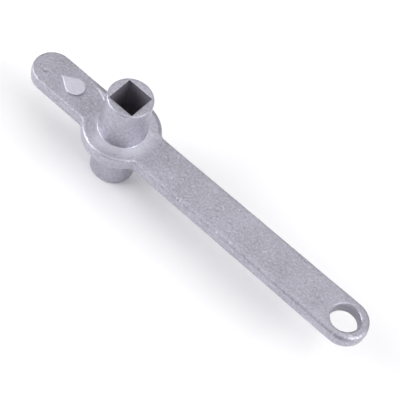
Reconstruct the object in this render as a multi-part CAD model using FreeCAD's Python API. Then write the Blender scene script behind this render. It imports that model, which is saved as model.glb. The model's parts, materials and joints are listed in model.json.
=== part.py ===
"""Radiator bleed key: a cast lever with a two-ended square socket barrel pressed through its eye.

The frame has its origin at the centre of the lower socket's mouth.  +Z runs up the socket axis and
+X runs along the handle, towards the hole that the key hangs from.  All lengths are millimetres.
"""
import FreeCAD, Part
import math
import os

# Square socket, which turns the valve's square
SQUARE = 5.2
SQUARE_LEAD_IN = 0.2

# Socket barrel: full size in the eye, drawn in towards both rims
EYE_BORE_RADIUS = 4.4
UPPER_RIM_RADIUS = 4.2
LOWER_RIM_RADIUS = 4.05
UPPER_REACH = 9.4
LOWER_REACH = 9.6
RIM_ROUND = 0.25

# Lever plate
PLATE_THICKNESS = 2.7
PLATE_EDGE_ROUND = 0.35
EYE_RADIUS = 7.25
EYE_NECK_ROUND = 1.2

# Handle, from the eye to the hanging end
HANDLE_ROOT_HALF_WIDTH = 3.88
HANDLE_END_RADIUS = 4.18
HANDLE_END_X = 52.4

# Thumb tab, on the other side of the eye
TAB_ROOT_HALF_WIDTH = 3.98
TAB_END_RADIUS = 3.94
TAB_END_X = -16.7

# Hanging hole, set a little inwards from the centre of the handle's round end
HANG_HOLE_X = 52.0
HANG_HOLE_RADIUS = 2.7
HANG_HOLE_ROUND = 0.3

# Round ejector mark near the end of the tab
EJECTOR_MARK_X = -17.4
EJECTOR_MARK_Y = -1.2
EJECTOR_MARK_RADIUS = 0.6
EJECTOR_MARK_DEPTH = 0.2

# Raised water-drop mark on the tab
DROP_BULB_X = -11.4
DROP_BULB_RADIUS = 1.9
DROP_TIP_DISTANCE = 3.4
DROP_HEIGHT = 0.35

PLATE_BOTTOM = LOWER_REACH
PLATE_TOP = PLATE_BOTTOM + PLATE_THICKNESS
UPPER_RIM = PLATE_TOP + UPPER_REACH
UP = FreeCAD.Vector(0, 0, 1)


def point(x, y, z=0.0):
    return FreeCAD.Vector(x, y, z)


def round_ended_bar(end_x, root_half_width, end_radius):
    """Flat bar from the socket axis out to a round end that its two straight sides run into."""
    outward = math.copysign(1.0, end_x)
    flare = math.asin((end_radius - root_half_width) / abs(end_x))
    root_x = -outward * root_half_width * math.sin(flare)
    root_y = root_half_width * math.cos(flare)
    side_x = end_x - outward * end_radius * math.sin(flare)
    side_y = end_radius * math.cos(flare)
    tip = point(end_x + outward * end_radius, 0, PLATE_BOTTOM)
    near_root = point(root_x, -root_y, PLATE_BOTTOM)
    near_side = point(side_x, -side_y, PLATE_BOTTOM)
    far_side = point(side_x, side_y, PLATE_BOTTOM)
    far_root = point(root_x, root_y, PLATE_BOTTOM)
    outline = [
        Part.LineSegment(near_root, near_side),
        Part.Arc(near_side, tip, far_side),
        Part.LineSegment(far_side, far_root),
        Part.LineSegment(far_root, near_root),
    ]
    wire = Part.Wire([edge.toShape() for edge in outline])
    return Part.Face(wire).extrude(UP * PLATE_THICKNESS)


def neck_edges(plate):
    """The four upright inside corners where the straight sides meet the eye."""
    edges = []
    for edge in plate.Edges:
        middle = edge.CenterOfMass
        upright = abs(edge.BoundBox.ZLength - PLATE_THICKNESS) < 1e-6
        on_eye = abs(math.hypot(middle.x, middle.y) - EYE_RADIUS) < 1e-3
        if upright and on_eye:
            edges.append(edge)
    return edges


def flat_edges(shape, heights, keep):
    """The edges that lie level at one of the heights and whose middle passes the keep test."""
    edges = []
    for edge in shape.Edges:
        level = edge.BoundBox.ZLength < 1e-6
        at_height = any(abs(edge.BoundBox.ZMin - height) < 1e-6 for height in heights)
        if level and at_height and keep(edge):
            edges.append(edge)
    return edges


def is_hang_hole_edge(edge):
    centre = edge.BoundBox.Center
    near_hole = abs(centre.x - HANG_HOLE_X) < 1e-3
    hole_wide = abs(edge.BoundBox.YLength - 2 * HANG_HOLE_RADIUS) < 1e-3
    return near_hole and hole_wide


def make_lever():
    """Handle, eye and thumb tab in one flat casting, with the eye bored for the barrel."""
    eye = Part.makeCylinder(EYE_RADIUS, PLATE_THICKNESS, point(0, 0, PLATE_BOTTOM))
    handle = round_ended_bar(HANDLE_END_X, HANDLE_ROOT_HALF_WIDTH, HANDLE_END_RADIUS)
    tab = round_ended_bar(TAB_END_X, TAB_ROOT_HALF_WIDTH, TAB_END_RADIUS)
    plate = eye.fuse([handle, tab]).removeSplitter()
    plate = plate.makeFillet(EYE_NECK_ROUND, neck_edges(plate))
    faces = (PLATE_BOTTOM, PLATE_TOP)
    plate = plate.makeFillet(PLATE_EDGE_ROUND, flat_edges(plate, faces, lambda edge: True))

    below = point(HANG_HOLE_X, 0, PLATE_BOTTOM - 1)
    plate = plate.cut(Part.makeCylinder(HANG_HOLE_RADIUS, PLATE_THICKNESS + 2, below))
    plate = plate.makeFillet(HANG_HOLE_ROUND, flat_edges(plate, faces, is_hang_hole_edge))

    eye_bore = Part.makeCylinder(EYE_BORE_RADIUS, PLATE_THICKNESS + 2, point(0, 0, PLATE_BOTTOM - 1))
    plate = plate.cut(eye_bore)
    return plate.cut(make_ejector_mark()).Solids[0]


def make_ejector_mark():
    """Ball whose cap, sunk in the plate's top, is the shallow dish left by an ejector pin."""
    ball_radius = (EJECTOR_MARK_RADIUS ** 2 + EJECTOR_MARK_DEPTH ** 2) / (2 * EJECTOR_MARK_DEPTH)
    centre_z = PLATE_TOP + ball_radius - EJECTOR_MARK_DEPTH
    return Part.makeSphere(ball_radius, point(EJECTOR_MARK_X, EJECTOR_MARK_Y, centre_z))


def square_section(half_width, z):
    corners = [
        point(-half_width, -half_width, z),
        point(half_width, -half_width, z),
        point(half_width, half_width, z),
        point(-half_width, half_width, z),
    ]
    return Part.makePolygon(corners + corners[:1])


def make_lead_in(mouth_z, inward):
    """Four-sided bevel that guides the valve's square into the socket mouth."""
    wide = square_section(SQUARE / 2 + SQUARE_LEAD_IN, mouth_z)
    narrow = square_section(SQUARE / 2, mouth_z + inward * SQUARE_LEAD_IN)
    return Part.makeLoft([wide, narrow], True, True)


def make_socket_barrel():
    """Barrel with a square socket right through it, open at both rims."""
    profile = Part.makePolygon([
        point(0, 0, 0),
        point(LOWER_RIM_RADIUS, 0, 0),
        point(EYE_BORE_RADIUS, 0, PLATE_BOTTOM),
        point(EYE_BORE_RADIUS, 0, PLATE_TOP),
        point(UPPER_RIM_RADIUS, 0, UPPER_RIM),
        point(0, 0, UPPER_RIM),
        point(0, 0, 0),
    ])
    barrel = Part.Face(profile).revolve(point(0, 0, 0), UP, 360)
    rims = flat_edges(barrel, (0.0, UPPER_RIM), lambda edge: True)
    barrel = barrel.makeFillet(RIM_ROUND, rims)
    socket = Part.Face(square_section(SQUARE / 2, 0)).extrude(UP * UPPER_RIM)
    barrel = barrel.cut(socket)
    barrel = barrel.cut(make_lead_in(0.0, 1))
    barrel = barrel.cut(make_lead_in(UPPER_RIM, -1))
    return barrel.Solids[0]


def make_drop_mark():
    """Raised water drop: a round bulb whose sides run straight to a tip facing the tab's end."""
    spread = math.acos(DROP_BULB_RADIUS / DROP_TIP_DISTANCE)
    side_x = DROP_BULB_X - DROP_BULB_RADIUS * math.cos(spread)
    side_y = DROP_BULB_RADIUS * math.sin(spread)
    tip = point(DROP_BULB_X - DROP_TIP_DISTANCE, 0, PLATE_TOP)
    near_side = point(side_x, -side_y, PLATE_TOP)
    far_side = point(side_x, side_y, PLATE_TOP)
    bulb = point(DROP_BULB_X + DROP_BULB_RADIUS, 0, PLATE_TOP)
    outline = [
        Part.LineSegment(tip, near_side),
        Part.Arc(near_side, bulb, far_side),
        Part.LineSegment(far_side, tip),
    ]
    wire = Part.Wire([edge.toShape() for edge in outline])
    return Part.Face(wire).extrude(UP * DROP_HEIGHT)


def main():
    os.makedirs("parts", exist_ok=True)
    nodes = {
        "lever": make_lever(),
        "socket_barrel": make_socket_barrel(),
        "drop_mark": make_drop_mark(),
    }
    for name, shape in nodes.items():
        shape.exportStep("parts/" + name + ".step")
        print(name, "valid", shape.isValid(), "volume", round(shape.Volume, 2), "mm3")


main()
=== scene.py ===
"""Radiator bleed key: the visible pieces of a small cast key, laid out as an add-on and run as a script.

The key is a flat cast lever with an eye, a socket barrel through the eye and a raised drop mark on the
thumb tab.  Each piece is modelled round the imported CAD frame, in metres, and rides on its body.
"""
import json
import math

import bmesh
import bpy
from bpy.props import FloatProperty, FloatVectorProperty, IntProperty, PointerProperty
from mathutils import Euler, Matrix, Vector


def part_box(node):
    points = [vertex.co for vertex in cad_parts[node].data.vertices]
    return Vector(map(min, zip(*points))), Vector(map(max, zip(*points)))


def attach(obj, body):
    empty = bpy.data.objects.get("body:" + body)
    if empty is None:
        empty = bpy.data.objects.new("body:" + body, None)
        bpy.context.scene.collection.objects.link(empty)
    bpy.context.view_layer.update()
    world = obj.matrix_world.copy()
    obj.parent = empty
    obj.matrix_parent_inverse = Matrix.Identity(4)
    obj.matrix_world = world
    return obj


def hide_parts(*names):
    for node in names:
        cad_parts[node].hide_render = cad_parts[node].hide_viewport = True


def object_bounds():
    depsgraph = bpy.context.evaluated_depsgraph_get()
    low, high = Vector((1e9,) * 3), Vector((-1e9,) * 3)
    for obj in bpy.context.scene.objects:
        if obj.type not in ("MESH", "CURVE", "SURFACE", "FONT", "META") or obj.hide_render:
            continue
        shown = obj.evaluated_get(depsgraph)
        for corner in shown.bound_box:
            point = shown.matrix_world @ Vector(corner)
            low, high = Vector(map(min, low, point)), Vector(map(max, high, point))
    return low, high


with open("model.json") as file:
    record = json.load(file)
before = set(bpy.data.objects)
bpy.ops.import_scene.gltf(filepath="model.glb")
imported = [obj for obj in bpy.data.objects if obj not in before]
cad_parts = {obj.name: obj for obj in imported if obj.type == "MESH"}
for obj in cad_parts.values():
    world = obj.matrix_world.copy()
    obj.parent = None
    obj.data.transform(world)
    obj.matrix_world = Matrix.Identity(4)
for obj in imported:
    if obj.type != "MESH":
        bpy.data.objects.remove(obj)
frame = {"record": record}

bl_info = {
    "name": "Radiator Bleed Key",
    "version": (1, 0, 0),
    "blender": (4, 5, 0),
    "location": "3D View > Sidebar > Bleed Key",
    "description": "Models a cast radiator bleed key round its packed frame",
    "category": "Object",
}

CAD_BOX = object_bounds()
LEVER_LOW, LEVER_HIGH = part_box("lever")
BARREL_LOW, BARREL_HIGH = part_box("socket_barrel")
MARK_LOW, MARK_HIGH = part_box("drop_mark")
MOUNTS = {mount["name"]: mount for mount in frame["record"]["mounts"]}
HANG_X = MOUNTS["hang_hole"]["pos_m"][0]
HANG_RADIUS = MOUNTS["hang_hole"]["dims"]["r_mm"] / 1000

MM = 0.001
WELD = 0.001 * MM        # points nearer to each other than this are made one
LEVEL = 0.99             # height of the unit normal above which a face counts as level
HOLE_SEGMENTS = 72
EYE_SEGMENTS = 120
BARREL_SEGMENTS = 144
SHARP_EDGE = (0.515, 0.56)   # pointiness where an edge starts to count and where it counts in full
UP = Vector((0, 0, 1))
PLAN = {"origin": Vector((0, 0, 0)), "across": Vector((1, 0, 0)), "along": Vector((0, 1, 0))}
PROFILE = {"origin": Vector((0, 0, 0)), "across": Vector((1, 0, 0)), "along": Vector((0, 0, 1))}


def length(name, description, default, smallest=0.0):
    """A size in metres, shown in the unit that the scene uses."""
    return FloatProperty(name=name, description=description, default=default, min=smallest,
                         precision=5, unit="LENGTH", subtype="DISTANCE")


def colour(name, description, default):
    return FloatVectorProperty(name=name, description=description, default=default,
                               min=0.0, max=1.0, size=3, subtype="COLOR")


def factor(name, description, default, largest=1.0):
    return FloatProperty(name=name, description=description, default=default, min=0.0, max=largest,
                         subtype="FACTOR")


class BleedKeyLever(bpy.types.PropertyGroup):
    """Sizes of the cast lever: handle, eye and thumb tab."""
    eye_radius: length("Eye radius", "Outer radius of the ring round the barrel", LEVER_HIGH.y)
    bore_radius: length("Eye bore radius", "Radius of the hole the barrel is pressed in", BARREL_HIGH.x)
    neck_round: length("Neck round", "Inside round where a side runs into the eye", 1.2 * MM)
    handle_end_radius: length("Handle end radius", "Radius of the hanging end", 4.18 * MM)
    handle_root_half_width: length("Handle root half width", "Half the width at the eye", 3.88 * MM)
    tab_end_radius: length("Tab end radius", "Radius of the thumb tab's end", 3.94 * MM)
    tab_root_half_width: length("Tab root half width", "Half the tab's width at the eye", 3.98 * MM)
    edge_round: length("Edge round", "Cast round along the upper and lower edges", 0.35 * MM)
    parting_band: length("Parting band", "Height of the line left where the die closed", 0.14 * MM)
    parting_step: length("Parting step", "How far that line stands out", 0.05 * MM)
    draft: length("Draft", "How far each side leans in over half the thickness", 0.05 * MM)
    land_height: length("Land height", "Height of the raised land behind the barrel", 0.21 * MM)
    land_slope: length("Land slope", "Width of the slope up to that land", 0.45 * MM)
    eye_shoulder: length("Eye shoulder", "Broad round on the eye's near left edge", 0.7 * MM)
    end_shoulder: length("End shoulder", "Broad round on the outer edge of the hanging end", 1.15 * MM)
    handle_shoulder: length("Handle shoulder", "Broad round that the handle's near edge ends in", 1.0 * MM)
    collar_height: length("Collar height", "Rise of the eye towards the barrel", 0.26 * MM)
    collar_radius: length("Collar radius", "Where the eye starts to rise", 6.3 * MM)
    cell: length("Surface cell", "Size of the faces that carry the cast unevenness", 0.16 * MM, 0.12 * MM)
    waviness: length("Waviness", "Depth of the broad hollows of the cast skin", 0.1 * MM)
    dimpling: length("Dimpling", "Depth of the small hollows of the cast skin", 0.03 * MM)
    pitting: length("Pitting", "Depth of the fine grain of the cast skin", 0.02 * MM)


class BleedKeyBarrel(bpy.types.PropertyGroup):
    """Sizes of the socket barrel."""
    square: length("Square", "Width across the flats of the socket", 5.2 * MM)
    mouth: length("Mouth", "Width across the flats where the draft ends at each rim", 5.34 * MM)
    draft_depth: length("Draft depth", "How far the draft of each mouth reaches in", 1.5 * MM)
    lead_in: length("Lead-in", "Bevel round the mouths of the socket", 0.12 * MM)
    corner_round: length("Corner round", "Round in the four corners of the socket", 0.12 * MM)
    upper_rim_radius: length("Upper rim radius", "Radius of the barrel at its upper rim", 4.2 * MM)
    lower_rim_radius: length("Lower rim radius", "Radius of the barrel at its lower rim", 4.05 * MM)
    rim_round: length("Rim round", "Round on the outer edge of each rim", 0.3 * MM)
    root_cove: length("Root cove", "Hollow round where the barrel leaves the eye", 0.2 * MM)
    cell: length("Surface cell", "Height of the faces up the barrel", 0.4 * MM, 0.1 * MM)
    waviness: length("Waviness", "Depth of the hollows of the cast skin", 0.06 * MM)


class BleedKeyMark(bpy.types.PropertyGroup):
    """Sizes of the raised water-drop mark on the tab."""
    bulb_radius: length("Bulb radius", "Radius of the drop's round end", MARK_HIGH.y)
    edge_round: length("Edge round", "Round along the top edge of the drop", 0.14 * MM)
    sink: length("Sink", "How far the drop reaches into the tab", 0.12 * MM)


class BleedKeyFinish(bpy.types.PropertyGroup):
    """Colours and gloss of the cast alloy."""
    alloy: colour("Alloy", "Main colour of the cast skin", (0.435, 0.424, 0.488))
    # The pale alloy serves rubbed edges and light specks, and also the painted highlights round the eye and
    # at the barrel's foot.
    pale: colour("Pale alloy", "Rubbed edges and light specks", (0.68, 0.67, 0.75))
    # The shaded alloy serves dark specks and grain, and also the painted shade in hollows and in the
    # hanging hole.
    shade: colour("Shaded alloy", "Hollows and dark specks of the skin", (0.24, 0.228, 0.275))
    # Painted shade, with some oxide, for the walls deep in the socket.
    shade_and_oxide: colour("Socket soot", "Walls deep in the socket", (0.4, 0.37, 0.4))
    metal: factor("Metal", "How much the surface behaves as bare metal", 0.75)
    roughness: factor("Roughness", "Gloss of the tumbled skin", 0.37)
    grain: length("Grain", "Depth of the fine grain", 0.042 * MM)


class BleedKeyStage(bpy.types.PropertyGroup):
    """Camera, floor and lights."""
    azimuth: FloatProperty(name="Azimuth", description="Camera's turn round the key",
                           default=math.radians(24.62), subtype="ANGLE")
    elevation: FloatProperty(name="Elevation", description="Camera's height angle over the floor",
                             default=math.radians(56.63), subtype="ANGLE")
    roll: FloatProperty(name="Roll", description="Turn of the camera about its own line of sight",
                        default=math.radians(19.52), subtype="ANGLE")
    distance: length("Distance", "From the lens to the point it is aimed at", 0.38287)
    aim_x: length("Aim along the handle", "Where the lens is aimed, from the socket axis", 19.34 * MM)
    aim_y: FloatProperty(name="Aim across", description="Where the lens is aimed, across the lever",
                         default=-1.0 * MM, unit="LENGTH", subtype="DISTANCE")
    lens: FloatProperty(name="Lens", description="Focal length in millimetres", default=198.0, min=20.0)
    floor_colour: colour("Floor", "Plain pale floor", (0.97, 0.97, 0.98))
    floor_size: length("Floor size", "Width of the floor", 1.6)
    floor_segments: IntProperty(name="Floor segments", description="Segments of the round floor",
                                default=96, min=12)


# ---------------------------------------------------------------- selecting and finishing

def leave_edit():
    if bpy.context.object is not None and bpy.context.object.mode != "OBJECT":
        bpy.ops.object.mode_set(mode="OBJECT")


def nothing_selected():
    leave_edit()
    bpy.ops.object.select_all(action="DESELECT")


def only(piece):
    """Makes one object the active one and the only selected one."""
    nothing_selected()
    piece.select_set(True)
    bpy.context.view_layer.objects.active = piece


def edit_all(piece):
    only(piece)
    bpy.ops.object.mode_set(mode="EDIT")
    bpy.ops.mesh.select_all(action="SELECT")


def pick(piece, kind, wanted):
    """In edit mode, selects the verts, edges or faces that pass a test, and returns how many."""
    bpy.ops.mesh.select_mode(type={"verts": "VERT", "edges": "EDGE", "faces": "FACE"}[kind])
    bpy.ops.mesh.select_all(action="DESELECT")
    mesh = bmesh.from_edit_mesh(piece.data)
    found = [element for element in getattr(mesh, kind) if wanted(element)]
    for element in found:
        element.select_set(True)
    bmesh.update_edit_mesh(piece.data)
    return len(found)


def added(name):
    """Names the object that was just added and applies its place, turn and size."""
    piece = bpy.context.object
    piece.name = piece.data.name = name
    bpy.ops.object.transform_apply(location=True, rotation=True, scale=True)
    return piece


def apply_modifier(piece, kind, **values):
    """Adds one modifier with these values and applies it."""
    only(piece)
    modifier = piece.modifiers.new(kind.title(), kind)
    for name, value in values.items():
        setattr(modifier, name, value)
    bpy.ops.object.modifier_apply(modifier=modifier.name)


def combine(piece, other, operation):
    """Joins another solid to this one, or cuts it away, and removes the other."""
    faces_before = len(piece.data.polygons)
    apply_modifier(piece, "BOOLEAN", object=other, operation=operation, solver="EXACT")
    if len(piece.data.polygons) < faces_before / 2:
        raise RuntimeError(f"{other.name} took away most of {piece.name}")
    bpy.data.objects.remove(other)


def smooth(piece, angle_degrees):
    only(piece)
    bpy.ops.object.shade_smooth_by_angle(angle=math.radians(angle_degrees))


def cast_skin(piece, name, size, depth, layers=1):
    """Moves the surface in and out along its normals by a soft cloud pattern."""
    clouds = bpy.data.textures.new(name, "CLOUDS")
    clouds.noise_scale = size
    clouds.noise_depth = layers
    clouds.noise_basis = "IMPROVED_PERLIN"
    apply_modifier(piece, "DISPLACE", texture=clouds, texture_coords="LOCAL", strength=depth,
                   mid_level=0.5)


# ---------------------------------------------------------------- drawing outlines

class Pen:
    """Draws an outline stroke by stroke, each stroke run on from the last point.

    Places are two numbers on the drawing plane: across and along.
    """

    def __init__(self, name, plane, start):
        self.plane = plane
        self.normal = plane["across"].cross(plane["along"])
        self.place = Vector(start)
        nothing_selected()
        bpy.ops.mesh.primitive_circle_add(vertices=3, radius=MM, location=self.in_space(self.place))
        self.piece = added(name)
        bpy.ops.object.mode_set(mode="EDIT")
        bpy.ops.mesh.select_mode(type="VERT")
        bpy.ops.mesh.select_all(action="SELECT")
        bpy.ops.mesh.merge(type="CENTER")

    def in_space(self, place):
        return self.plane["origin"] + self.plane["across"] * place[0] + self.plane["along"] * place[1]

    def line(self, end, pieces=1):
        step = (Vector(end) - self.place) / pieces
        for _ in range(pieces):
            stroke = self.in_space(step) - self.plane["origin"]
            bpy.ops.mesh.extrude_vertices_move(TRANSFORM_OT_translate={"value": stroke})
        self.place = Vector(end)

    def arc(self, centre, end, step_degrees=4.0):
        """Arc round a centre to the end point, by the shorter way."""
        first, last = self.place - Vector(centre), Vector(end) - Vector(centre)
        turn = math.atan2(first.x * last.y - first.y * last.x, first.dot(last))
        steps = max(2, math.ceil(abs(math.degrees(turn)) / step_degrees))
        bpy.ops.mesh.spin(steps=steps, angle=-turn, center=self.in_space(centre), axis=self.normal)
        self.place = Vector(end)

    def fill(self):
        """Closes the outline and fills it with one face."""
        bpy.ops.mesh.select_all(action="SELECT")
        bpy.ops.mesh.remove_doubles(threshold=WELD)
        bpy.ops.mesh.edge_face_add()
        return self.piece

    def fill_with_mirror(self):
        """Doubles the half outline over the long axis and fills it."""
        bpy.ops.mesh.select_all(action="SELECT")
        bpy.ops.mesh.duplicate()
        bpy.ops.transform.resize(value=(1, -1, 1), center_override=(0, 0, 0))
        return self.fill()

    def turn_full(self, steps):
        """Turns the profile once round the socket axis into a closed solid."""
        bpy.ops.mesh.select_all(action="SELECT")
        bpy.ops.mesh.spin(steps=steps, angle=math.tau, center=(0, 0, 0), axis=(0, 0, 1))
        bpy.ops.mesh.select_all(action="SELECT")
        bpy.ops.mesh.remove_doubles(threshold=WELD)
        bpy.ops.mesh.normals_make_consistent(inside=False)
        return self.piece


def on_ray(angle, radius, centre=(0.0, 0.0)):
    return Vector((centre[0] + radius * math.cos(angle), centre[1] + radius * math.sin(angle)))


def side_of_bar(eye_radius, neck_round, root_half_width, end_radius, end_x):
    """Where one side of a bar meets the eye and the bar's round end.

    The side touches a circle of the root half width on the axis and the circle of the end.
    """
    lean = math.asin((end_radius - root_half_width) / abs(end_x))
    normal = Vector((-math.sin(lean), math.cos(lean)))
    along = Vector((math.cos(lean), math.sin(lean)))
    offset = root_half_width + neck_round
    reach = math.sqrt((eye_radius + neck_round) ** 2 - offset ** 2)
    neck_centre = normal * offset + along * reach
    points = {
        "neck_centre": neck_centre,
        "neck_on_side": neck_centre - normal * neck_round,
        "neck_on_eye": neck_centre * (eye_radius / (eye_radius + neck_round)),
        "end_centre": Vector((abs(end_x), 0)),
        "side_on_end": Vector((abs(end_x), 0)) + normal * end_radius,
        "tip": Vector((abs(end_x) + end_radius, 0)),
    }
    if end_x < 0:
        points = {name: Vector((-place.x, place.y)) for name, place in points.items()}
    return points


def lever_face(name, lever, height, shrink=0.0):
    """The lever's outline as one flat face, drawn smaller all round by shrink."""
    tab_end_x = LEVER_LOW.x + lever.tab_end_radius
    handle_end_x = LEVER_HIGH.x - lever.handle_end_radius
    eye_radius = lever.eye_radius - shrink
    neck_round = lever.neck_round + shrink
    handle = side_of_bar(eye_radius, neck_round, lever.handle_root_half_width - shrink,
                         lever.handle_end_radius - shrink, handle_end_x)
    tab = side_of_bar(eye_radius, neck_round, lever.tab_root_half_width - shrink,
                      lever.tab_end_radius - shrink, tab_end_x)
    pen = Pen(name, dict(PLAN, origin=UP * height), handle["tip"])
    pen.arc(handle["end_centre"], handle["side_on_end"])
    pen.line(handle["neck_on_side"])
    pen.arc(handle["neck_centre"], handle["neck_on_eye"])
    pen.arc((0, 0), tab["neck_on_eye"], 3.0)
    pen.arc(tab["neck_centre"], tab["neck_on_side"])
    pen.line(tab["side_on_end"])
    pen.arc(tab["end_centre"], tab["tip"])
    return pen.fill_with_mirror()


def quarter_round(radius, steps=6):
    """Inset steps, each a distance in and a rise, that turn an upright edge into a level one."""
    turns = [math.pi / 2 * step / steps for step in range(steps + 1)]
    return [
        (radius * (math.cos(low) - math.cos(high)), radius * (math.sin(high) - math.sin(low)))
        for low, high in zip(turns, turns[1:])
    ]


def raise_slab(piece, thickness, steps, both_sides=False):
    """Thickens a flat face upwards, then builds its top, or both its caps, out by inset steps."""
    bpy.ops.mesh.select_all(action="SELECT")
    bpy.ops.mesh.extrude_region_move(TRANSFORM_OT_translate={"value": UP * thickness})
    bpy.ops.mesh.select_all(action="SELECT")
    bpy.ops.mesh.normals_make_consistent(inside=False)
    pick(piece, "faces",
         lambda face: face.normal.z > LEVEL or both_sides and face.normal.z < -LEVEL)
    for inward, outward in steps:
        bpy.ops.mesh.inset(thickness=inward, depth=outward, use_even_offset=True)


def cut_grid(piece, low, high, cell):
    """Cuts level surfaces into cells with upright planes, so that they can carry unevenness."""
    edit_all(piece)
    for axis in (0, 1):
        normal = Vector((0, 0, 0))
        normal[axis] = 1
        count = math.ceil((high[axis] - low[axis]) / cell)
        for step in range(1, count):
            place = normal * (low[axis] + step * (high[axis] - low[axis]) / count)
            bpy.ops.mesh.select_all(action="SELECT")
            bpy.ops.mesh.bisect(plane_co=place, plane_no=normal)
    leave_edit()


# ---------------------------------------------------------------- cutters and added bosses

def round_cutter(name, radius, x, low, high, segments=HOLE_SEGMENTS):
    """An upright round bar, for boring a plain hole."""
    nothing_selected()
    bpy.ops.mesh.primitive_cylinder_add(vertices=segments, radius=radius, depth=high - low,
                                        location=(x, 0, (low + high) / 2))
    return added(name)


def flared_cutter(name, radius, flare, x, y, surface, direction):
    """A plug whose side curves out towards the surface, for rounding one lip of a hole."""
    pen = Pen(name, PROFILE, (0, surface - direction * flare * 2))
    pen.line((radius, surface - direction * flare * 2))
    pen.line((radius, surface - direction * flare))
    pen.arc((radius + flare, surface - direction * flare), (radius + flare, surface), 9.0)
    pen.line((radius + flare, surface + direction * flare))
    pen.line((0, surface + direction * flare))
    cutter = pen.turn_full(HOLE_SEGMENTS)
    bpy.ops.transform.translate(value=(x, y, 0))
    leave_edit()
    return cutter


def dent_cutter(name, centre, size, turn_degrees):
    """A flattened ball that leaves a shallow dent or scrape."""
    nothing_selected()
    turn = Euler((0, 0, math.radians(turn_degrees)))
    bpy.ops.mesh.primitive_uv_sphere_add(segments=32, ring_count=16, radius=1.0, location=centre,
                                         rotation=turn, scale=size)
    return added(name)


def far_land(lever):
    """The slightly raised land behind the barrel, between two creases that run out from its foot."""
    foot = 0.3 * MM
    far_edge = lever.eye_radius - 0.5 * MM
    right_crease = (Vector((4.67, 2.45)) * MM, Vector((6.9, 3.4)) * MM)
    tab_side = Vector((-6.6, 3.42)) * MM
    left_crease = (Vector((-10.6, 3.4)) * MM, Vector((-6.1, 1.62)) * MM)
    under_barrel = (Vector((-3.0, 1.2)) * MM, Vector((3.0, 1.2)) * MM)
    pen = Pen("far_land", dict(PLAN, origin=UP * (LEVER_HIGH.z - foot)), right_crease[0])
    pen.line(right_crease[1])
    pen.line(on_ray(math.radians(40), far_edge))
    pen.arc((0, 0), on_ray(math.radians(145), far_edge), 6.0)
    for place in (tab_side, *left_crease, *under_barrel, right_crease[0]):
        pen.line(place)
    pen.fill()
    width, rise = lever.land_slope, lever.land_height
    # The slope eases off towards the land's level top.
    steps = [(width * 0.4, rise * 0.45), (width * 0.3, rise * 0.35), (width * 0.3, rise * 0.2)]
    raise_slab(pen.piece, foot, steps)
    leave_edit()
    return pen.piece


def shoulder_outline(name, origin, outward, reach, drop):
    """Section of a cutter that leaves a convex round of radius drop, in from reach, on the top edge."""
    top = LEVER_HIGH.z
    plane = {"origin": origin, "across": Vector((outward.x, outward.y, 0)), "along": UP}
    pen = Pen(name, plane, (reach - drop, top))
    pen.arc((reach - drop, top - drop), (reach, top - drop), 9.0)
    pen.line((reach + drop, top - drop))
    pen.line((reach + drop, top + drop))
    pen.line((reach - drop, top + drop))
    pen.line((reach - drop, top))
    return pen.fill()


def closed_cutter(piece):
    """Turns the normals of a swept section outwards and leaves edit mode."""
    bpy.ops.mesh.select_all(action="SELECT")
    bpy.ops.mesh.normals_make_consistent(inside=False)
    leave_edit()
    return piece


def round_shoulder_cutter(name, centre_x, radius, degrees, drop):
    """Cuts a broad round on part of a round top edge.

    degrees is where the cut starts, is deepest and ends.  Its centre is set back from the edge's centre,
    so that the cut fades away from its deepest place.
    """
    set_back = 1.2 * MM
    first, deepest, last = (math.radians(angle) for angle in degrees)
    centre = on_ray(deepest, -set_back, (centre_x, 0))
    origin = Vector((centre.x, centre.y, 0))
    piece = shoulder_outline(name, origin, on_ray(first, 1.0), radius + set_back, drop)
    bpy.ops.mesh.spin(steps=30, angle=first - last, center=origin, axis=UP)
    return closed_cutter(piece)


def handle_shoulder_cutter(lever):
    """Cuts the handle's near upper edge to a round that widens towards the hanging end."""
    start_x, end_x = 6 * MM, LEVER_HIGH.x - lever.handle_end_radius
    lean = (lever.handle_end_radius - lever.handle_root_half_width) / end_x
    stand_off = 0.12 * (lever.handle_shoulder - lever.edge_round)
    start_y = lever.handle_root_half_width + lean * start_x + stand_off
    piece = shoulder_outline("handle_shoulder_cutter", Vector((start_x, 0, 0)), Vector((0, -1)), start_y,
                             lever.handle_shoulder)
    run = Vector((end_x - start_x, start_y - lever.handle_end_radius, 0))
    bpy.ops.mesh.select_all(action="SELECT")
    bpy.ops.mesh.extrude_region_move(TRANSFORM_OT_translate={"value": run})
    return closed_cutter(piece)


def eye_collar(lever):
    """The hollow rise of the eye's top towards the barrel, as one turned ring."""
    foot = LEVER_HIGH.z - 0.5 * MM
    rise, width = lever.collar_height, lever.collar_radius - lever.bore_radius
    inner, outer = lever.bore_radius - 0.3 * MM, lever.collar_radius
    strokes = 12
    pen = Pen("eye_collar", PROFILE, (inner, foot))
    pen.line((outer, foot))
    for step in range(strokes + 1):
        inward = step / strokes
        pen.line((outer - width * inward, LEVER_HIGH.z + rise * inward ** 2))
    pen.line((inner, LEVER_HIGH.z + rise))
    pen.line((inner, foot))
    collar = pen.turn_full(EYE_SEGMENTS)
    leave_edit()
    return collar


# ---------------------------------------------------------------- materials

def node(tree, kind, inputs=None, **values):
    """Adds a shader node, sets its properties and fills or links its inputs."""
    made = tree.nodes.new(kind)
    for name, value in values.items():
        setattr(made, name, value)
    for key, value in (inputs or {}).items():
        if isinstance(value, bpy.types.NodeSocket):
            tree.links.new(value, made.inputs[key])
        else:
            made.inputs[key].default_value = value
    return made


def noise(tree, place, scale, detail=2.0, rough=0.5, distortion=0.0):
    """Noise value from 0 to 1; scale is in patches to the metre."""
    return node(tree, "ShaderNodeTexNoise", {
        "Vector": place, "Scale": scale, "Detail": detail, "Roughness": rough, "Distortion": distortion,
    }).outputs["Fac"]


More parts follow.
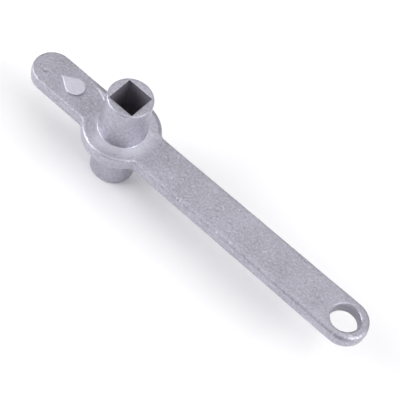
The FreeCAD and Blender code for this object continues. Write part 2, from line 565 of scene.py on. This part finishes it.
def ramp(tree, value, low, high, to_low=0.0, to_high=1.0):
    """Maps a value between two levels onto another range, clamped and smooth."""
    return node(tree, "ShaderNodeMapRange", {
        "Value": value, "From Min": low, "From Max": high, "To Min": to_low, "To Max": to_high,
    }, interpolation_type="SMOOTHSTEP").outputs["Result"]


def maths(tree, operation, first, second):
    return node(tree, "ShaderNodeMath", {0: first, 1: second}, operation=operation).outputs[0]


def vectors(tree, operation, first, second=(0, 0, 0)):
    """A sum of two vectors, as its node, because some sums give a vector and some a value."""
    return node(tree, "ShaderNodeVectorMath", {0: first, 1: second}, operation=operation)


def height_of(tree, place):
    return node(tree, "ShaderNodeSeparateXYZ", {"Vector": place}).outputs["Z"]


def from_upright(tree, place, x=0.0):
    """Distance from an upright line that stands on the lever's long axis."""
    beside = vectors(tree, "SUBTRACT", place, (x, 0, 0)).outputs["Vector"]
    level = vectors(tree, "MULTIPLY", beside, (1, 1, 0)).outputs["Vector"]
    return vectors(tree, "LENGTH", level).outputs["Value"]


def blend_colour(tree, amount, first, second):
    """Goes from the first colour to the second as the amount goes from 0 to 1."""
    mix = node(tree, "ShaderNodeMix", data_type="RGBA")
    for socket, value in (("Factor_Float", amount), ("A_Color", first), ("B_Color", second)):
        target = next(one for one in mix.inputs if one.identifier == socket)
        if isinstance(value, bpy.types.NodeSocket):
            tree.links.new(value, target)
        else:
            target.default_value = value
    return next(one for one in mix.outputs if one.identifier == "Result_Color")


def opaque(colour_value):
    return (*colour_value, 1.0)


def cast_alloy(name, finish, tone=1.0, rubbed=0.0, coats=()):
    """Tumbled light-alloy casting: mottled grey skin, fine grain, pale rubbed edges and specks, and painted
    shade in hollows.

    Each coat is a function that changes the colour on some part of the piece.
    """
    material = bpy.data.materials.new(name)
    material.use_nodes = True
    tree = material.node_tree
    shader = tree.nodes["Principled BSDF"]
    place = node(tree, "ShaderNodeTexCoord").outputs["Object"]
    edge = node(tree, "ShaderNodeNewGeometry").outputs["Pointiness"]

    clouding = ramp(tree, noise(tree, place, 170.0, 3.0, 0.55), 0.3, 0.7)
    mottle = ramp(tree, noise(tree, place, 2200.0, 3.0, 0.6, 0.2), 0.35, 0.68)
    grain = noise(tree, place, 4200.0, 2.0, 0.6)
    dark_specks = ramp(tree, noise(tree, place, 2300.0, 1.0, 0.4), 0.62, 0.74)
    pale_specks = ramp(tree, noise(tree, place, 1900.0, 2.0, 0.5, 0.6), 0.63, 0.72)
    layers = (
        (ramp(tree, mottle, 0.0, 1.0, 0.0, 0.3), finish.pale),
        (ramp(tree, grain, 0.35, 0.2, 0.0, 0.45), finish.shade),
        (maths(tree, "MULTIPLY", dark_specks, 0.5), finish.shade),
        (maths(tree, "MULTIPLY", pale_specks, 0.65), finish.pale),
        (ramp(tree, edge, *SHARP_EDGE, rubbed, max(rubbed, 0.15)), finish.pale),
        # Painted shade: hollows and inside corners, where the pointiness is low, are darkened towards the
        # shaded alloy.
        (ramp(tree, edge, 0.49, 0.43, 0.0, 0.5), finish.shade),
    )
    alloy = Vector(finish.alloy) * tone
    colour_now = blend_colour(tree, clouding, opaque(alloy * 0.9), opaque(alloy * 1.05))
    for amount, layer_colour in layers:
        colour_now = blend_colour(tree, amount, colour_now, opaque(layer_colour))
    for coat in coats:
        colour_now = coat(tree, place, colour_now, finish)
    tree.links.new(colour_now, shader.inputs["Base Color"])
    shader.inputs["Metallic"].default_value = finish.metal

    gloss = ramp(tree, mottle, 0.0, 1.0, finish.roughness + 0.07, finish.roughness - 0.05)
    dulled_edge = ramp(tree, edge, *SHARP_EDGE, 0.0, 0.09)
    tree.links.new(maths(tree, "ADD", gloss, dulled_edge), shader.inputs["Roughness"])

    fine = node(tree, "ShaderNodeBump", {"Height": grain, "Strength": 0.55, "Distance": finish.grain})
    coarse = node(tree, "ShaderNodeBump", {
        "Height": mottle, "Strength": 0.5, "Distance": finish.grain * 1.6, "Normal": fine.outputs["Normal"],
    })
    tree.links.new(coarse.outputs["Normal"], shader.inputs["Normal"])
    return material


def socket_shade_and_oxide(tree, place, colour_now, finish):
    """Paints shade, with some oxide, on the walls of the square socket, darker with depth from either
    mouth.
    """
    lip, wall = 2.72 * MM, 2.64 * MM
    fade = 5.5 * MM
    parts = node(tree, "ShaderNodeSeparateXYZ", {"Vector": place})
    across = maths(tree, "ABSOLUTE", parts.outputs["X"], 0.0)
    along = maths(tree, "ABSOLUTE", parts.outputs["Y"], 0.0)
    inside = ramp(tree, maths(tree, "MAXIMUM", across, along), lip, wall)
    half_height = (BARREL_HIGH.z - BARREL_LOW.z) / 2
    from_middle = maths(tree, "ABSOLUTE", maths(tree, "SUBTRACT", parts.outputs["Z"], half_height), 0.0)
    deep = ramp(tree, from_middle, half_height, half_height - fade, 0.0, 0.7)
    return blend_colour(tree, maths(tree, "MULTIPLY", inside, deep), colour_now, opaque(finish.shade_and_oxide))


def painted_foot_highlight(tree, place, colour_now, finish):
    """Painted highlight: a pale ring on the coves at the barrel's foot, which stand out past the eye bore.
    """
    foot = ramp(tree, from_upright(tree, place), 4.46 * MM, 4.52 * MM, 0.0, 0.9)
    return blend_colour(tree, foot, colour_now, opaque(finish.pale * 1.1))


def painted_eye_highlight(tree, place, colour_now, finish):
    """Painted highlight round the barrel: a patchy paler patch on the eye's near side towards the handle,
    in place of the lit barrel's reflection, and paler raised parts.
    """
    outer, inner = 7.6 * MM, 5.0 * MM
    # Direction, towards the handle and the near side, of the painted reflection patch.
    highlight_side = (0.8, -0.6, 0)
    radius = from_upright(tree, place)
    near_barrel = ramp(tree, radius, outer, inner)
    towards = vectors(tree, "DOT_PRODUCT", place, highlight_side).outputs["Value"]
    side = ramp(tree, maths(tree, "DIVIDE", towards, radius), -0.1, 0.5)
    patchy = ramp(tree, noise(tree, place, 700.0, 3.0, 0.6), 0.2, 0.6, 0.5, 0.85)
    amount = maths(tree, "MULTIPLY", maths(tree, "MULTIPLY", near_barrel, side), patchy)
    top = LEVER_HIGH.z
    # Painted highlight: the raised land and collar are made paler.
    raised = ramp(tree, height_of(tree, place), top + 0.08 * MM, top + 0.2 * MM, 0.0, 0.4)
    return blend_colour(tree, maths(tree, "MAXIMUM", amount, raised), colour_now, opaque(finish.pale))


def hang_hole_shade(tree, place, colour_now, finish):
    """Painted shade: a darker colour on the wall of the hanging hole, below its upper lip."""
    wall = ramp(tree, from_upright(tree, place, HANG_X), HANG_RADIUS + 0.45 * MM, HANG_RADIUS + 0.1 * MM)
    top = LEVER_HIGH.z
    below_lip = ramp(tree, height_of(tree, place), top - 0.1 * MM, top - 0.7 * MM, 0.0, 0.8)
    amount = maths(tree, "MULTIPLY", wall, below_lip)
    return blend_colour(tree, amount, colour_now, opaque(finish.shade * 0.8))


def paint(piece, material):
    piece.data.materials.clear()
    piece.data.materials.append(material)


def stand_for(piece, cad_node):
    """The piece rides on the one body and takes over from its CAD node."""
    leave_edit()
    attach(piece, "root")
    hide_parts(cad_node)


# ---------------------------------------------------------------- operators

class BLEEDKEY_OT_lever(bpy.types.Operator):
    """Models the cast lever: handle, eye and thumb tab, with its holes, land and small dents"""
    bl_idname = "bleed_key.lever"
    bl_label = "Cast lever"

    def execute(self, context):
        lever, finish = context.scene.bleed_key_lever, context.scene.bleed_key_finish
        low, high = LEVER_LOW.z, LEVER_HIGH.z
        middle = (low + high) / 2
        piece = lever_face("cast_lever", lever, middle - lever.parting_band / 2)
        side_height = (high - low - lever.parting_band) / 2 - lever.edge_round
        steps = [(lever.parting_step, 0.0), (lever.draft, side_height)] + quarter_round(lever.edge_round)
        raise_slab(piece, lever.parting_band, steps, both_sides=True)
        leave_edit()
        combine(piece, far_land(lever), "UNION")
        combine(piece, eye_collar(lever), "UNION")
        for cutter in self.cutters(lever):
            combine(piece, cutter, "DIFFERENCE")

        apply_modifier(piece, "REMESH", mode="VOXEL", voxel_size=lever.cell)
        apply_modifier(piece, "SMOOTH", factor=0.5, iterations=2)
        cast_skin(piece, "lever_waves", 7 * MM, lever.waviness)
        cast_skin(piece, "lever_dimples", 1.6 * MM, lever.dimpling, layers=2)
        cast_skin(piece, "lever_pits", 0.45 * MM, lever.pitting)
        smooth(piece, 60)
        paint(piece, cast_alloy("cast_lever_skin", finish, coats=(painted_eye_highlight, hang_hole_shade)))
        stand_for(piece, "lever")
        return {"FINISHED"}

    def cutters(self, lever):
        """All that is cut out of the lever, in turn: shoulders, holes with their lips, and dents."""
        low, high = LEVER_LOW.z, LEVER_HIGH.z
        past = 1 * MM
        end_radius = lever.handle_end_radius
        end_x = LEVER_HIGH.x - end_radius
        eye_degrees, end_degrees = (-143, -105, -67), (-91, -62, 5)
        yield round_shoulder_cutter("eye_shoulder", 0, lever.eye_radius, eye_degrees, lever.eye_shoulder)
        yield round_shoulder_cutter("end_shoulder", end_x, end_radius, end_degrees, lever.end_shoulder)
        yield handle_shoulder_cutter(lever)
        yield round_cutter("eye_bore", lever.bore_radius, 0, low - past, high + past, EYE_SEGMENTS)
        yield round_cutter("hang_bore", HANG_RADIUS, HANG_X, low - past, high + past)
        # The upper lip is worn most on its outer side, so its plug stands off the hole's centre.
        lip_radius, lip_round = HANG_RADIUS - 0.28 * MM, 0.6 * MM
        lip_x, lip_y = HANG_X + 0.34 * MM, 0.12 * MM
        yield flared_cutter("hang_lip", lip_radius, lip_round, lip_x, lip_y, high, 1)
        yield flared_cutter("hang_lip_below", HANG_RADIUS - 0.1 * MM, 0.2 * MM, HANG_X, 0, low, -1)
        for number, (x, y, long, wide, deep, turn) in enumerate(self.dents()):
            centre = Vector((x, y, high / MM - deep + wide)) * MM
            size = Vector((long, wide, wide)) * MM
            yield dent_cutter(f"dent_{number}", centre, size, turn)

    @staticmethod
    def dents():
        """Ejector mark and handling dents on the top.

        Each is x, y, length, radius and depth in millimetres, then its turn in degrees.
        """
        return (
            (-17.4, -1.2, 0.62, 0.62, 0.2, 0),
            (-18.6, -1.3, 0.9, 0.5, 0.1, 12),
            (9.6, 1.0, 0.9, 0.6, 0.12, 75),
            (14.8, -2.5, 0.7, 0.45, 0.1, 30),
            (20.3, 2.1, 1.5, 0.7, 0.11, 85),
            (22.6, -0.2, 1.1, 0.6, 0.11, 20),
            (27.0, -2.2, 0.8, 0.6, 0.12, 50),
            (31.5, 1.4, 0.6, 0.5, 0.1, 115),
            (36.4, -1.0, 1.2, 0.7, 0.1, 140),
        )


class BLEEDKEY_OT_barrel(bpy.types.Operator):
    """Models the socket barrel with its two rims, the coves at its root and the square socket"""
    bl_idname = "bleed_key.barrel"
    bl_label = "Socket barrel"

    def execute(self, context):
        scene = context.scene
        lever, barrel, finish = scene.bleed_key_lever, scene.bleed_key_barrel, scene.bleed_key_finish
        piece = self.turned_body(lever, barrel)
        leave_edit()
        cast_skin(piece, "barrel_waves", 4 * MM, barrel.waviness)
        combine(piece, self.socket_cutter(barrel), "DIFFERENCE")
        smooth(piece, 38)
        paint(piece, cast_alloy("cast_barrel_skin", finish, coats=(socket_shade_and_oxide, painted_foot_highlight)))
        stand_for(piece, "socket_barrel")
        return {"FINISHED"}

    @staticmethod
    def turned_body(lever, barrel):
        """The solid barrel, drawn as half a section and turned round the socket axis."""
        root, cove, rim = lever.bore_radius, barrel.root_cove, barrel.rim_round
        low, high = BARREL_LOW.z, BARREL_HIGH.z
        # The upper cove starts inside the collar, and both coves reach a little way into the eye.
        under, over = LEVER_LOW.z, LEVER_HIGH.z + lever.collar_height * 0.8
        sunk = 0.3 * MM
        lower_rim, upper_rim = barrel.lower_rim_radius, barrel.upper_rim_radius
        rows = math.ceil((high - over) / barrel.cell)
        pen = Pen("cast_socket_barrel", PROFILE, (0, low))
        pen.line((lower_rim - rim, low), 3)
        pen.arc((lower_rim - rim, low + rim), (lower_rim, low + rim), 15)
        pen.line((root, under - cove), rows)
        pen.arc((root + cove, under - cove), (root + cove, under), 18)
        pen.line((root + cove, under + sunk))
        pen.line((root, under + sunk))
        pen.line((root, over - sunk))
        pen.line((root + cove, over - sunk))
        pen.line((root + cove, over))
        pen.arc((root + cove, over + cove), (root, over + cove), 18)
        pen.line((upper_rim, high - rim), rows)
        pen.arc((upper_rim - rim, high - rim), (upper_rim - rim, high), 15)
        pen.line((0, high), 3)
        return pen.turn_full(BARREL_SEGMENTS)

    @staticmethod
    def socket_cutter(barrel):
        """A square bar with rounded corners that spreads at both mouths."""
        low, high = BARREL_LOW.z, BARREL_HIGH.z
        bevel, depth = barrel.lead_in, barrel.draft_depth
        nothing_selected()
        bpy.ops.mesh.primitive_cube_add(size=1, location=(0, 0, (low + high) / 2),
                                        scale=(barrel.square, barrel.square, high - low - 2 * depth))
        cutter = added("socket_cutter")
        bpy.ops.object.mode_set(mode="EDIT")
        pick(cutter, "edges", lambda edge: abs((edge.verts[0].co - edge.verts[1].co).z) > MM)
        bpy.ops.mesh.bevel(offset=barrel.corner_round, segments=3, affect="EDGES")
        widths = (barrel.square, barrel.mouth, barrel.mouth + 4 * bevel)
        rises = (depth - bevel / 2, bevel * 1.5)
        for side in (-1, 1):
            pick(cutter, "faces", lambda face: face.normal.z * side > 0.9)
            for narrow, wide, rise in zip(widths, widths[1:], rises):
                bpy.ops.mesh.extrude_region_move(TRANSFORM_OT_translate={"value": UP * rise * side})
                bpy.ops.transform.resize(value=(wide / narrow, wide / narrow, 1), center_override=(0, 0, 0))
        leave_edit()
        return cutter


class BLEEDKEY_OT_drop_mark(bpy.types.Operator):
    """Models the raised water drop on the thumb tab"""
    bl_idname = "bleed_key.drop_mark"
    bl_label = "Drop mark"

    def execute(self, context):
        mark, finish = context.scene.bleed_key_mark, context.scene.bleed_key_finish
        radius = mark.bulb_radius
        centre = (MARK_HIGH.x - radius, 0)
        tip_distance = centre[0] - MARK_LOW.x
        spread = math.acos(radius / tip_distance)
        side = on_ray(math.pi - spread, radius, centre)
        plane = dict(PLAN, origin=UP * (MARK_LOW.z - mark.sink))
        pen = Pen("cast_drop_mark", plane, (MARK_HIGH.x, 0))
        pen.arc(centre, on_ray(math.pi / 2, radius, centre), 5)
        pen.arc(centre, side, 5)
        pen.line((MARK_LOW.x, 0), 8)
        piece = pen.fill_with_mirror()
        wall = MARK_HIGH.z - MARK_LOW.z - mark.edge_round
        draft = 0.04 * MM
        raise_slab(piece, mark.sink, [(draft, wall)] + quarter_round(mark.edge_round, 4))
        leave_edit()
        cut_grid(piece, MARK_LOW, MARK_HIGH, cell=0.3 * MM)
        cast_skin(piece, "mark_dimples", size=1.1 * MM, depth=0.05 * MM)
        smooth(piece, 38)
        paint(piece, cast_alloy("cast_mark_skin", finish, tone=1.6, rubbed=0.65))
        stand_for(piece, "drop_mark")
        return {"FINISHED"}


class BLEEDKEY_OT_stage(bpy.types.Operator):
    """Sets up the pale floor, the soft lights and the camera"""
    bl_idname = "bleed_key.stage"
    bl_label = "Stage"

    def execute(self, context):
        stage = context.scene.bleed_key_stage
        self.floor(stage)
        self.camera(stage)
        self.lights(stage)
        world = bpy.data.worlds.new("studio_air")
        world.use_nodes = True
        background = world.node_tree.nodes["Background"]
        background.inputs["Color"].default_value = (0.9, 0.9, 0.93, 1)
        background.inputs["Strength"].default_value = 0.24
        context.scene.world = world
        context.scene.view_settings.view_transform = "Standard"
        return {"FINISHED"}

    @staticmethod
    def floor(stage):
        nothing_selected()
        bpy.ops.mesh.primitive_circle_add(vertices=stage.floor_segments, radius=stage.floor_size / 2,
                                          fill_type="NGON", location=(0, 0, CAD_BOX[0].z))
        floor = added("studio_floor")
        material = bpy.data.materials.new("floor_paper")
        material.use_nodes = True
        tree = material.node_tree
        shader = tree.nodes["Principled BSDF"]
        place = node(tree, "ShaderNodeTexCoord").outputs["Object"]
        paper = noise(tree, place, scale=60.0)
        tint = blend_colour(tree, ramp(tree, paper, 0.3, 0.7), opaque(Vector(stage.floor_colour) * 0.99),
                            opaque(stage.floor_colour))
        tree.links.new(tint, shader.inputs["Base Color"])
        shader.inputs["Roughness"].default_value = 0.9
        shader.inputs["Specular IOR Level"].default_value = 0.1
        paint(floor, material)

    @staticmethod
    def set_up(name, data, stage, angles, distance, roll=0.0):
        """Puts a camera or lamp at this distance, turned to face where the lens is aimed."""
        azimuth, elevation = angles
        aim = Vector((stage.aim_x, stage.aim_y, LEVER_HIGH.z))
        facing = Euler((math.pi / 2 - elevation, 0, azimuth)).to_matrix()
        turned = facing @ Matrix.Rotation(roll, 3, "Z")
        thing = bpy.data.objects.new(name, data)
        thing.matrix_world = Matrix.Translation(aim + facing @ UP * distance) @ turned.to_4x4()
        bpy.context.scene.collection.objects.link(thing)
        return thing

    def camera(self, stage):
        data = bpy.data.cameras.new("studio_camera")
        data.lens = stage.lens
        data.clip_start = 10 * MM
        angles = (stage.azimuth, stage.elevation)
        camera = self.set_up("studio_camera", data, stage, angles, stage.distance, stage.roll)
        bpy.context.scene.camera = camera

    def lights(self, stage):
        """Two soft lights, left and right of the camera, and dimmer ones behind and above."""
        panels = (
            ("left_softbox", (-58, 28), 0.6, (0.45, 0.42), 2.9),
            ("right_softbox", (98, 38), 0.6, (0.5, 0.5), 2.5),
            ("back_panel", (208, 54), 0.7, (0.9, 0.6), 1.2),
            ("overhead_panel", (60, 84), 0.7, (0.4, 0.4), 0.7),
        )
        for name, degrees, distance, size, power in panels:
            light = bpy.data.lights.new(name, "AREA")
            light.shape = "RECTANGLE"
            light.size, light.size_y = size
            light.energy = power
            self.set_up(name, light, stage, [math.radians(angle) for angle in degrees], distance)


class BLEEDKEY_PT_sidebar(bpy.types.Panel):
    """Lists the key's sizes and the buttons that model its pieces"""
    bl_idname = "BLEEDKEY_PT_sidebar"
    bl_label = "Radiator Bleed Key"
    bl_space_type = "VIEW_3D"
    bl_region_type = "UI"
    bl_category = "Bleed Key"

    def draw(self, context):
        for group, scene_name in GROUPS.items():
            box = self.layout.box()
            if group in BUTTONS:
                box.operator(BUTTONS[group].bl_idname)
            for name in group.__annotations__:
                box.prop(getattr(context.scene, scene_name), name)


GROUPS = {
    BleedKeyLever: "bleed_key_lever",
    BleedKeyBarrel: "bleed_key_barrel",
    BleedKeyMark: "bleed_key_mark",
    BleedKeyStage: "bleed_key_stage",
    BleedKeyFinish: "bleed_key_finish",
}
BUTTONS = {
    BleedKeyLever: BLEEDKEY_OT_lever,
    BleedKeyBarrel: BLEEDKEY_OT_barrel,
    BleedKeyMark: BLEEDKEY_OT_drop_mark,
    BleedKeyStage: BLEEDKEY_OT_stage,
}


def register():
    for cls in (*GROUPS, *BUTTONS.values(), BLEEDKEY_PT_sidebar):
        bpy.utils.register_class(cls)
    for group, name in GROUPS.items():
        setattr(bpy.types.Scene, name, PointerProperty(type=group))


def unregister():
    for name in GROUPS.values():
        delattr(bpy.types.Scene, name)
    for cls in reversed((*GROUPS, *BUTTONS.values(), BLEEDKEY_PT_sidebar)):
        bpy.utils.unregister_class(cls)


def main():
    register()
    bpy.ops.bleed_key.lever()
    bpy.ops.bleed_key.barrel()
    bpy.ops.bleed_key.drop_mark()
    bpy.ops.bleed_key.stage()


if __name__ == "__main__":
    main()
